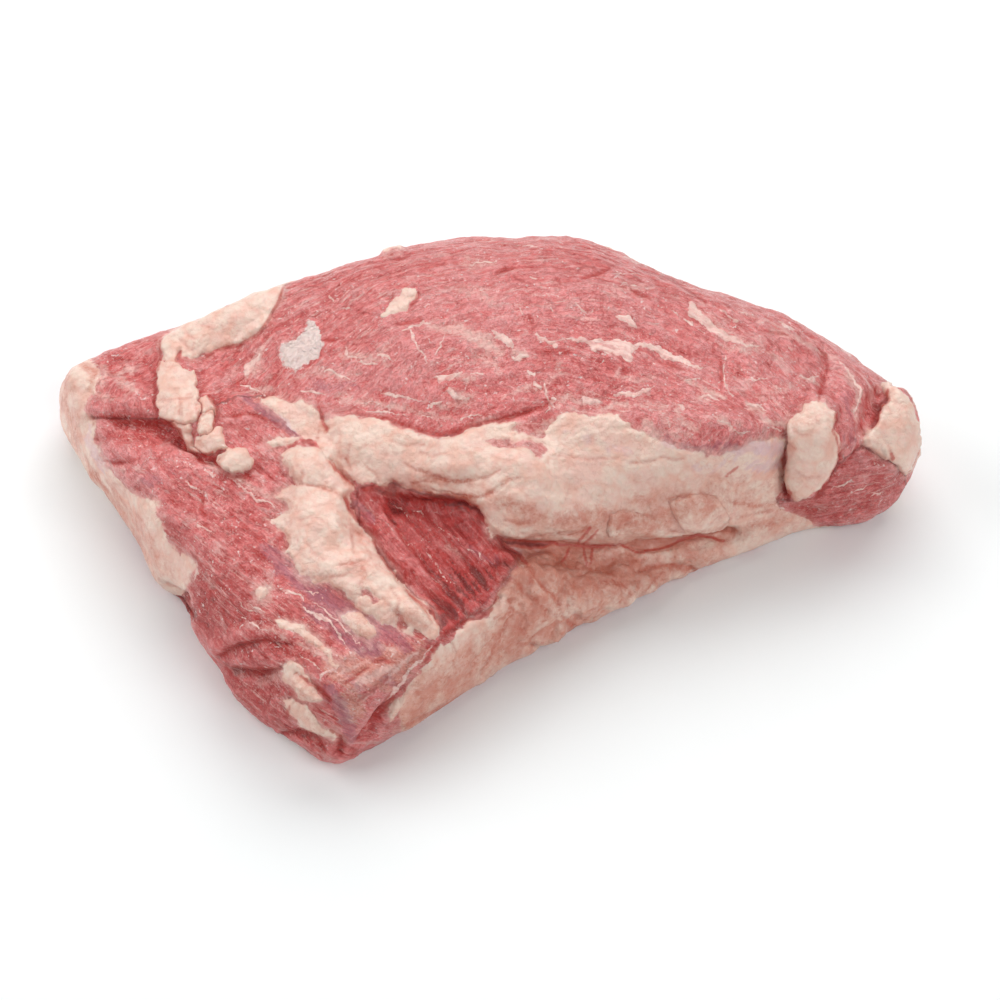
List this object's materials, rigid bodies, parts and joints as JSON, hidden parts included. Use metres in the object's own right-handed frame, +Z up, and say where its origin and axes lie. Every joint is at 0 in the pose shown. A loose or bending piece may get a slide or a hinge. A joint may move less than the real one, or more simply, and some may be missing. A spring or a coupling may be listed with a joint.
{
  "type": "raw tri-tip roast",
  "caption": "Whole raw beef tri-tip roast, a low three-cornered slab with a rolled fatty front edge, creased lean top and raised patches of fat.",
  "frame": {"origin": "centre of the bounding box's bottom face, on the surface the roast rests on", "axes": "+X along the roast's length towards its thick right tip, +Y towards the high far edge, +Z up, with the rolled fatty edge towards -Y"},
  "size_m": [0.2864, 0.2074, 0.0585],
  "materials": {
    "lean": "moist raw beef with fine grain and pale marbling",
    "fat": "soft pinkish-white fat with fine reddish veins"
  },
  "bodies": {
    "root": {"tri_tip_roast": "lean"}
  },
  "joints": []
}
